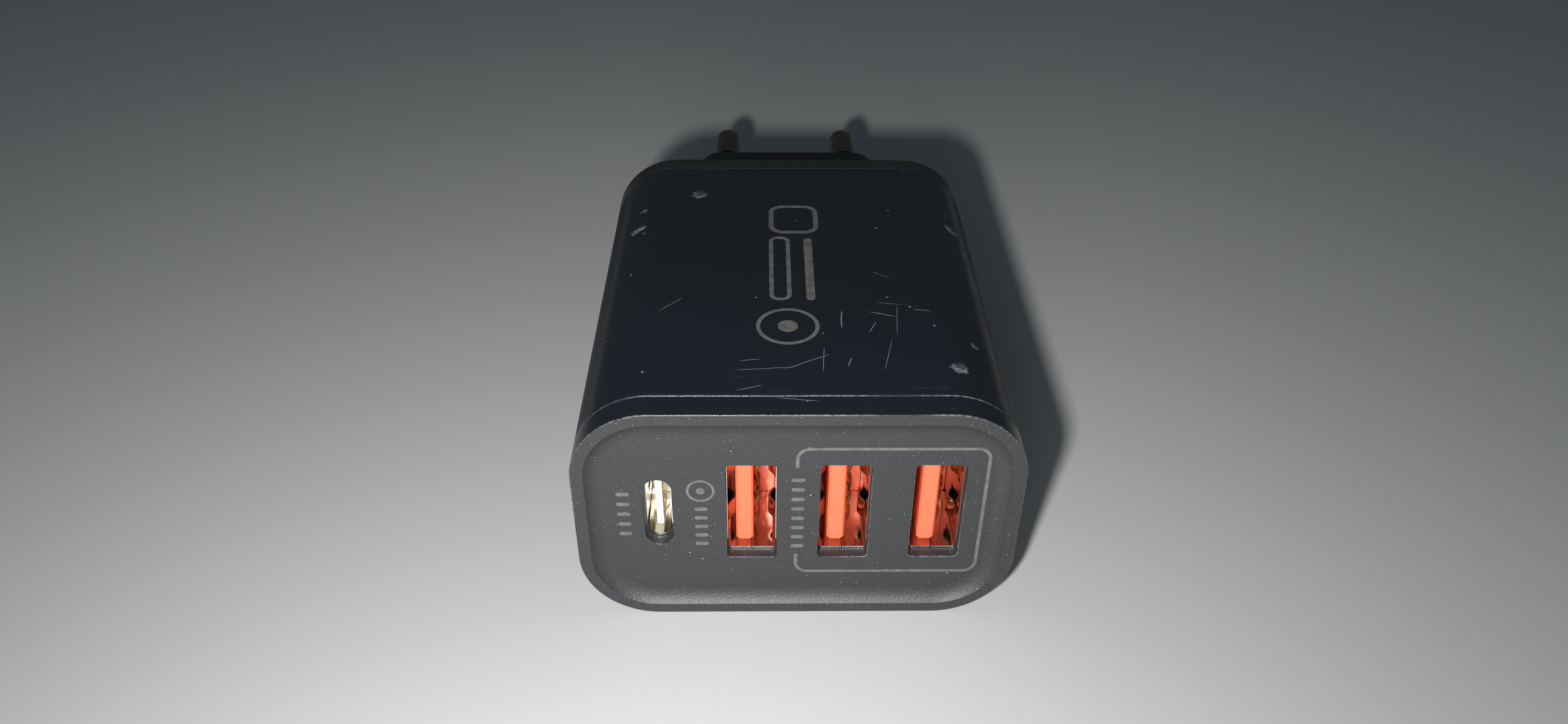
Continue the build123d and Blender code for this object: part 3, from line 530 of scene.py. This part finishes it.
# front rim edge: worn plastic, with lighter stretches that are partly a painted highlight
WORN_RIM_AND_HIGHLIGHT = worn_edge_and_painted_highlight("worn_front_rim_and_highlight", grey(0.11, 0.05))
FACE = textured_face()
REAR = moulded_plastic("rear_black_plastic", grey(0.014, 0.1), 0.38, 0.15 * MM, 0.12)
SLEEVE = moulded_plastic("pin_sleeve_black", grey(0.012), 0.45)
ORANGE = moulded_plastic("orange_insulator", (0.98, 0.15, 0.068, 1), 0.34, 0.2 * MM, 0.06, 0.05)
IVORY = moulded_plastic("ivory_insulator", (0.8, 0.77, 0.66, 1), 0.4, 0.1 * MM, 0.08, 0.05)
NICKEL = metal("socket_nickel", (0.93, 0.9, 0.84, 1), 0.1, (1, 0.15, 1), 3000, 0.05)
PRINT = moulded_plastic("printed_ink", INK, 0.5, 0.1 * MM, 0.2, 0.25)
PIN = metal("pin_nickel", (0.2, 0.155, 0.115, 1), 0.34, (1, 0.2, 1), 5000)
GOLD = metal("contact_gold", (0.9, 0.66, 0.36, 1), 0.2, (1, 1, 0.2), 4000, 0.05)
TIN = metal("solder_tin", (0.72, 0.73, 0.75, 1), 0.22)
ALUMINIUM = metal("can_aluminium", (0.8, 0.8, 0.82, 1), 0.3, (1, 1, 0.1))
SINK = metal("heat_sink_aluminium", (0.74, 0.75, 0.77, 1), 0.35, (1, 0.1, 1))
COPPER = metal("enamelled_copper", (0.75, 0.3, 0.12, 1), 0.22)
BOARD = moulded_plastic("board_green", (0.02, 0.13, 0.05, 1), 0.3, 0.5 * MM, 0.2, 0.25)
FERRITE = moulded_plastic("ferrite_grey", grey(0.045), 0.7, 0.08 * MM, 0.4, 0.2)
PHENOLIC = moulded_plastic("bobbin_black", grey(0.02), 0.5)
TAPE = moulded_plastic("tape_yellow", (0.8, 0.52, 0.05, 1), 0.25, 0.6 * MM, 0.2, 0.08)
CAN_SLEEVE = moulded_plastic("can_sleeve_dark", (0.02, 0.025, 0.05, 1), 0.22, 0.8 * MM, 0.1, 0.1)
WIRE_RED = moulded_plastic("lead_insulation", (0.5, 0.03, 0.02, 1), 0.35)
CERAMIC = moulded_plastic("disc_blue", (0.02, 0.13, 0.5, 1), 0.3, 0.5 * MM, 0.15)
BOX_YELLOW = moulded_plastic("box_yellow", (0.85, 0.55, 0.05, 1), 0.3)
FUSE = moulded_plastic("fuse_brown", (0.1, 0.06, 0.035, 1), 0.4)
EPOXY = moulded_plastic("chip_epoxy", grey(0.02), 0.5, 0.06 * MM, 0.3)
PAPER = moulded_plastic("insulating_paper", (0.72, 0.69, 0.6, 1), 0.6, 0.25 * MM, 0.3, 0.06)
TAN_CHIP = moulded_plastic("chip_ceramic", (0.42, 0.31, 0.2, 1), 0.5)

CAD_FINISH = {
    "rear_cover": REAR, "plug_pin_left": PIN, "plug_pin_right": PIN, "pin_sleeve_left": SLEEVE,
    "pin_sleeve_right": SLEEVE, "pin_lead_left": WIRE_RED, "pin_lead_right": WIRE_RED,
    "usb_c_shell": NICKEL, "usb_c_insulator": IVORY, "usb_c_contacts": GOLD,
    "main_board": BOARD, "riser_board": BOARD, "transformer_core": FERRITE, "transformer_bobbin": PHENOLIC,
    "transformer_winding": TAPE, "input_capacitor_1": CAN_SLEEVE, "input_capacitor_2": CAN_SLEEVE,
    "output_capacitor_1": ALUMINIUM, "output_capacitor_2": ALUMINIUM, "y_capacitor": CERAMIC,
    "x_capacitor": BOX_YELLOW, "fuse": FUSE, "bridge_rectifier": EPOXY, "optocoupler": EPOXY,
    "choke_core": FERRITE, "choke_winding": COPPER, "heat_sink": SINK, "insulating_sheet": PAPER,
    "buck_inductor_1": FERRITE, "buck_inductor_2": FERRITE, "primary_controller": EPOXY,
    "sync_rectifier": EPOXY, "pd_controller": EPOXY, "quick_charge_controller": EPOXY,
    "chip_parts": TAN_CHIP, "solder_joints": TIN, "main_housing": BLACK, "front_cover": FACE,
}
for number in (1, 2, 3):
    CAD_FINISH[f"usb_a_shell_{number}"] = NICKEL
    CAD_FINISH[f"usb_a_insulator_{number}"] = ORANGE
    CAD_FINISH[f"usb_a_contacts_{number}"] = GOLD

for node, material in CAD_FINISH.items():
    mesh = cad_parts[node].data
    mesh.materials.clear()
    mesh.materials.append(material)


# ---- Pieces -----------------------------------------------------------------------------------------

def assign_material(piece, material, is_wanted):
    """Give the piece one more material, on the faces that are wanted."""
    piece.data.materials.append(material)
    slot = len(piece.data.materials) - 1
    for face in piece.data.polygons:
        if is_wanted(face):
            face.material_index = slot


def distance_inside(point):
    """How far a point lies inside the body's outline, measured square to it."""
    over_x = abs(point.x) - (half_width - CORNER)
    over_z = abs(point.z - height / 2) - (height / 2 - CORNER)
    if over_x > 0 and over_z > 0:
        return CORNER - math.hypot(over_x, over_z)
    return CORNER - max(over_x, over_z)


def is_seam_edge(face):
    from_end = min(face.center.y - sleeve_start, sleeve_end - face.center.y)
    on_chamfer = distance_inside(face.center) < SEAM_CHAMFER and from_end < SEAM_CHAMFER
    return on_chamfer and abs(face.normal.y) > 0.5


def is_skirt(face):
    behind_rim = face.center.y > front_y + 0.1 * MM
    return abs(face.normal.y) < 0.5 and behind_rim and distance_inside(face.center) < 0.1 * MM


def is_hole_edge(face):
    on_edge = field_y < face.center.y < field_y + HOLE_EASE and 0.15 < abs(face.normal.y) < 0.97
    return on_edge and distance_inside(face.center) > RIM + COVE


def is_rim_edge(face):
    on_edge = face.center.y < front_y + RIM_EASE and 0.1 < abs(face.normal.y) < 0.99
    return on_edge and distance_inside(face.center) < RIM_EASE


housing = make_housing()
housing.data.materials.append(BLACK)
# seam chamfer: lighter edge colour, partly a painted highlight
assign_material(housing, WORN_EDGE_AND_HIGHLIGHT, is_seam_edge)
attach(housing, "root")
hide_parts("main_housing")

front = make_front_cover()
front.data.materials.append(FACE)
assign_material(front, BLACK, is_skirt)
# eased edges of the socket holes: lighter edge colour, partly a painted highlight
assign_material(front, WORN_EDGE_AND_HIGHLIGHT, is_hole_edge)
# eased outer edge of the front rim: lighter edge colour, partly a painted highlight
assign_material(front, WORN_RIM_AND_HIGHLIGHT, is_rim_edge)
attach(front, "root")
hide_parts("front_cover")


# ---- Printed marks: a frame round two sockets, rings, outlined blocks and bars, with no lettering ----

INK_THICKNESS = 0.012 * MM
BAR = (1.4, 0.5)            # width and height of a short bar on the front face, in millimetres


def print_shape(bm, outline, place):
    """A thin raised shape; place turns the outline's two coordinates and a rise into a point."""
    low = [bm.verts.new(place(a, b, -INK_THICKNESS)) for a, b in outline]
    high = [bm.verts.new(place(a, b, INK_THICKNESS)) for a, b in outline]
    bridge(bm, low, high)
    bm.faces.new(low)
    bm.faces.new(high)


def bar(centre_a, centre_b, size_a, size_b):
    return rounded_rectangle(
        centre_a * MM, centre_b * MM, size_a * MM, size_b * MM, 0.49 * min(size_a, size_b) * MM, 5
    )


def on_field(x, z, rise):
    return x, field_y - rise, z


def on_top(x, depth, rise):
    return x, front_y + depth, height + rise


FRAME_LEFT, FRAME_RIGHT, FRAME_LOW, FRAME_HIGH = -0.35 * MM, 19.65 * MM, 5.45 * MM, 23.3 * MM
FRAME_LINE = 0.36 * MM
FRAME_CORNER = 1.5 * MM
FRAME_GAP = (8.3 * MM, 20.6 * MM)


def frame_edge(inset):
    """Clockwise from the top of the gap in the left side to its bottom."""
    steps = 8
    reach = FRAME_CORNER - inset
    points = [(FRAME_LEFT + inset, FRAME_GAP[1])]
    corners = (
        (FRAME_LEFT, FRAME_HIGH, 180), (FRAME_RIGHT, FRAME_HIGH, 90),
        (FRAME_RIGHT, FRAME_LOW, 0), (FRAME_LEFT, FRAME_LOW, 270),
    )
    for x, z, start in corners:
        hub_x = x + math.copysign(FRAME_CORNER, (FRAME_LEFT + FRAME_RIGHT) / 2 - x)
        hub_z = z + math.copysign(FRAME_CORNER, (FRAME_LOW + FRAME_HIGH) / 2 - z)
        for i in range(steps + 1):
            angle = math.radians(start - 90 * i / steps)
            points.append((hub_x + reach * math.cos(angle), hub_z + reach * math.sin(angle)))
    points.append((FRAME_LEFT + inset, FRAME_GAP[0]))
    return points


def frame_strip():
    """Outer and inner edge of the frame's line, which is open on its left side."""
    return frame_edge(0), frame_edge(FRAME_LINE)


def print_strip(bm, outer, inner, place):
    """A thin raised line between two open edges with the same number of points."""
    rings = []
    for (ao, bo), (ai, bi) in zip(outer, inner):
        corners = ((ao, bo, -1), (ao, bo, 1), (ai, bi, 1), (ai, bi, -1))
        rings.append([bm.verts.new(place(a, b, rise * INK_THICKNESS)) for a, b, rise in corners])
    for ring_a, ring_b in zip(rings, rings[1:]):
        bridge(bm, ring_a, ring_b)
    bm.faces.new(rings[0])
    bm.faces.new(rings[-1])


def finish_print(bm, name):
    piece = finish_mesh(bm, name, 30)
    piece.data.materials.append(PRINT)
    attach(piece, "root")


def print_outline(bm, centre_a, centre_b, size_a, size_b, radius, line, place):
    """A thin raised line round a rounded rectangle. Sizes and places are in millimetres."""
    outer = rounded_rectangle(centre_a * MM, centre_b * MM, size_a * MM, size_b * MM, radius * MM, 12)
    hole_a, hole_b, hole_radius = size_a - 2 * line, size_b - 2 * line, radius - line
    inner = rounded_rectangle(
        centre_a * MM, centre_b * MM, hole_a * MM, hole_b * MM, hole_radius * MM, 12
    )
    rings = [
        [bm.verts.new(place(a, b, rise * INK_THICKNESS)) for a, b in outline]
        for outline, rise in ((outer, -1), (outer, 1), (inner, 1), (inner, -1))
    ]
    for ring_a, ring_b in zip(rings, rings[1:] + rings[:1]):
        bridge(bm, ring_a, ring_b)


def print_ring(bm, centre_a, centre_b, size, line, dot, place):
    """A thin raised ring with a dot in its middle."""
    radius = size / 2 - 0.001
    print_outline(bm, centre_a, centre_b, size, size, radius, line, place)
    print_shape(bm, bar(centre_a, centre_b, dot, dot), place)


def print_bars(bm, x, highest, pitch, count):
    """A column of short bars on the front face."""
    for i in range(count):
        print_shape(bm, bar(x, highest - pitch * i, *BAR), on_field)


front_print = bmesh.new()
print_strip(front_print, *frame_strip(), on_field)
print_bars(front_print, -0.05, 18.95, 1.35, 8)
print_ring(front_print, -10.2, 17.45, 3.0, 0.28, 0.9, on_field)
print_bars(front_print, -10.2, 14.9, 1.25, 5)
print_bars(front_print, -18.3, 17.0, 1.4, 5)
finish_print(front_print, "front_print")

top_print = bmesh.new()
print_ring(top_print, -1.0, 15.4, 6.9, 0.45, 2.2, on_top)
print_outline(top_print, -1.7, 27.5, 2.5, 14.0, 1.1, 0.5, on_top)
print_shape(top_print, bar(1.7, 27.3, 1.0, 13.6), on_top)
print_outline(top_print, 0.1, 38.8, 6.1, 7.0, 1.8, 0.6, on_top)
finish_print(top_print, "top_print")


# ---- Stage, light and camera ------------------------------------------------------------------------

FLOOR_COLOUR = (0.5, 0.505, 0.497, 1)
FLOOR_REACH = 1.5


def make_floor():
    bm = bmesh.new()
    bmesh.ops.create_grid(bm, x_segments=1, y_segments=1, size=FLOOR_REACH)
    mesh = bpy.data.meshes.new("floor")
    bm.to_mesh(mesh)
    bm.free()
    floor = bpy.data.objects.new("floor", mesh)
    bpy.context.scene.collection.objects.link(floor)
    n = Nodes("pale_floor")
    n.set(Base_Color=FLOOR_COLOUR, Roughness=0.6)
    mesh.materials.append(n.material)


def add_area(name, location, target, size, power):
    light = bpy.data.lights.new(name, "AREA")
    light.shape = "DISK"
    light.size = size
    light.energy = power
    lamp = bpy.data.objects.new(name, light)
    lamp.location = location
    lamp.rotation_euler = (Vector(target) - Vector(location)).to_track_quat("-Z", "Y").to_euler()
    bpy.context.scene.collection.objects.link(lamp)


KEY_PLACE = (-0.019, -0.136, 0.087)
KEY_TARGET = (0, -0.01, 0.01)
FILL_PLACE = (-0.05, -0.355, 0.085)
WORLD_COLOUR = (0.84, 1.0, 1.16, 1)
WORLD_STRENGTH = 0.06
CAMERA_PLACE = Vector((-3.88 * MM, front_y - 89.98 * MM, 100.7 * MM))
YAW, PITCH, ROLL = math.radians(-1.371), math.radians(36.268), math.radians(-0.809)
LENS = 27.13                # millimetres
SENSOR_WIDTH = 36.0         # millimetres


def make_camera():
    camera_data = bpy.data.cameras.new("camera")
    camera_data.lens = LENS
    camera_data.sensor_width = SENSOR_WIDTH
    camera_data.clip_start = 0.005
    camera = bpy.data.objects.new("camera", camera_data)
    turn = Matrix.Rotation(YAW, 3, "Z") @ Matrix.Rotation(-PITCH, 3, "X") @ Matrix.Rotation(ROLL, 3, "Y")
    right, forward, up = turn.col
    axes = Matrix((right, up, -forward)).transposed().to_4x4()
    camera.matrix_world = Matrix.Translation(CAMERA_PLACE) @ axes
    bpy.context.scene.collection.objects.link(camera)
    bpy.context.scene.camera = camera


make_floor()
make_camera()
add_area("key", KEY_PLACE, KEY_TARGET, size=0.008, power=0.26)
add_area("front_fill", FILL_PLACE, (0, front_y, 0.014), size=0.12, power=0.27)

world = bpy.data.worlds.new("studio")
bpy.context.scene.world = world
world.use_nodes = True
background = world.node_tree.nodes["Background"]
background.inputs["Color"].default_value = WORLD_COLOUR
background.inputs["Strength"].default_value = WORLD_STRENGTH
bpy.context.scene.view_settings.view_transform = "Standard"
